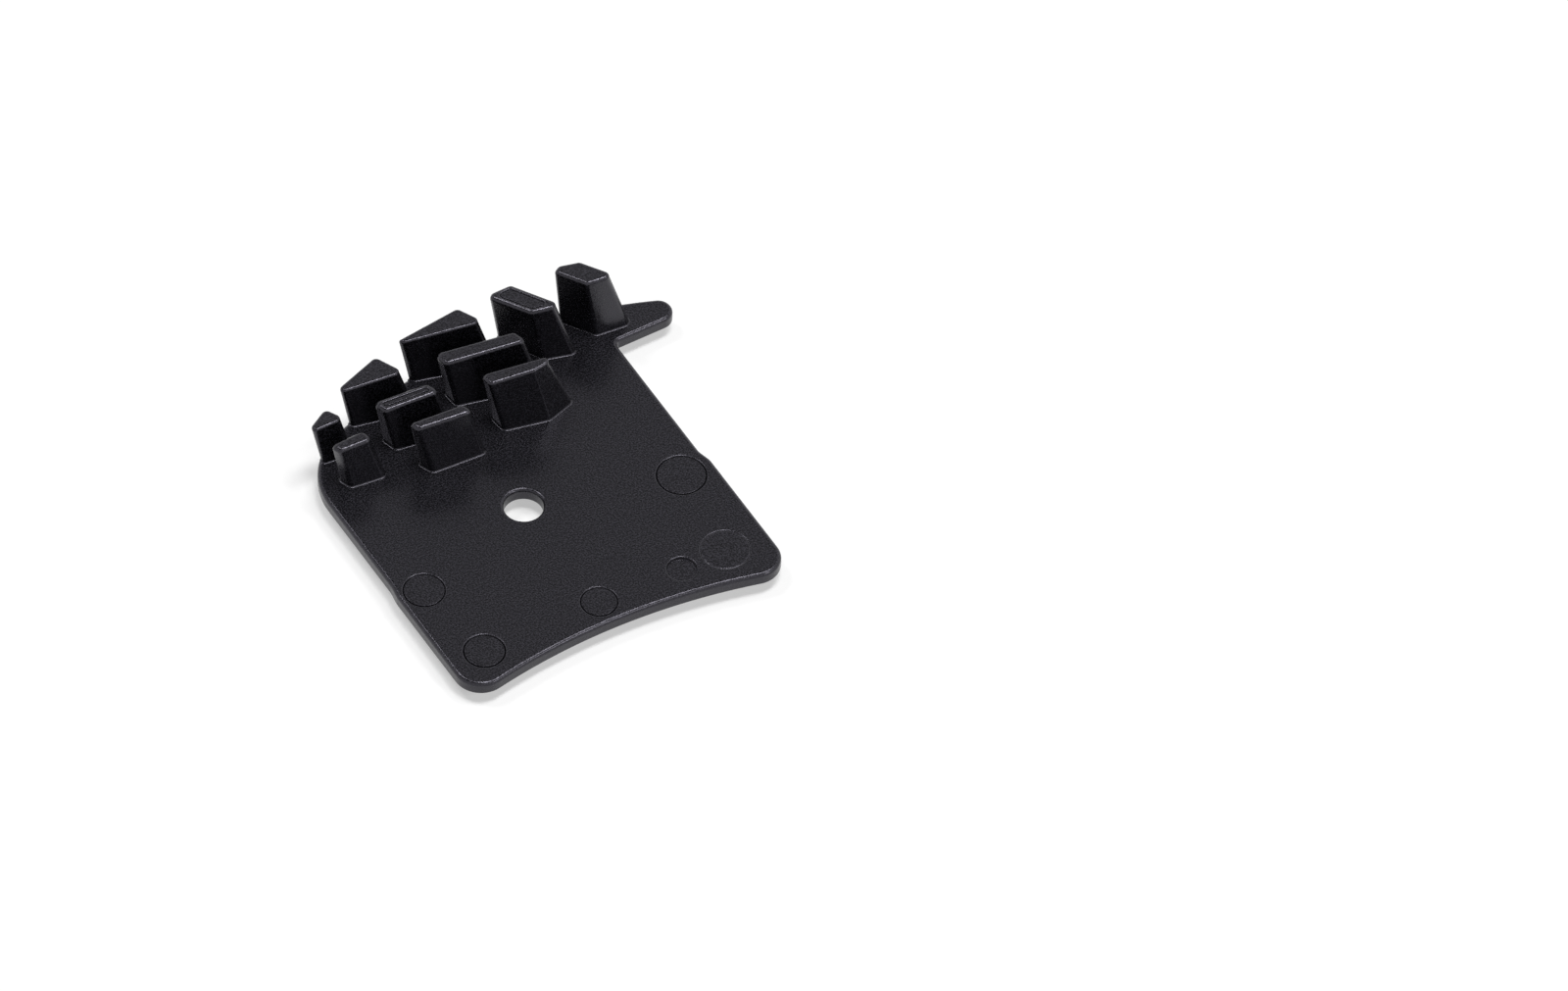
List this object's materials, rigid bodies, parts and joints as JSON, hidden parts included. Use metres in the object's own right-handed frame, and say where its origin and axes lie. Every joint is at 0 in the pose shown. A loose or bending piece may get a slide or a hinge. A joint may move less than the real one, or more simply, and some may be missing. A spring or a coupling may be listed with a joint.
{
  "type": "bicycle disc brake pad",
  "caption": "Finned disc brake pad: cast black backing plate with leaning cooling fins, a side tab and a pin hole, and a curved friction lining bonded to its other face.",
  "frame": {"origin": "on the pin hole's axis at the finned face of the backing plate", "axes": "+Z out of the finned face along the pin hole, +Y towards the finned end, +X towards the side tab"},
  "size_m": [0.0357, 0.0338, 0.0086],
  "materials": {
    "coated_casting": "semi-matt fine-grain black coating",
    "lining": "ground, speckled grey-brown compound with black-coated sides"
  },
  "bodies": {
    "root": {"backing_plate": "coated_casting", "friction_lining": "lining"}
  },
  "joints": []
}
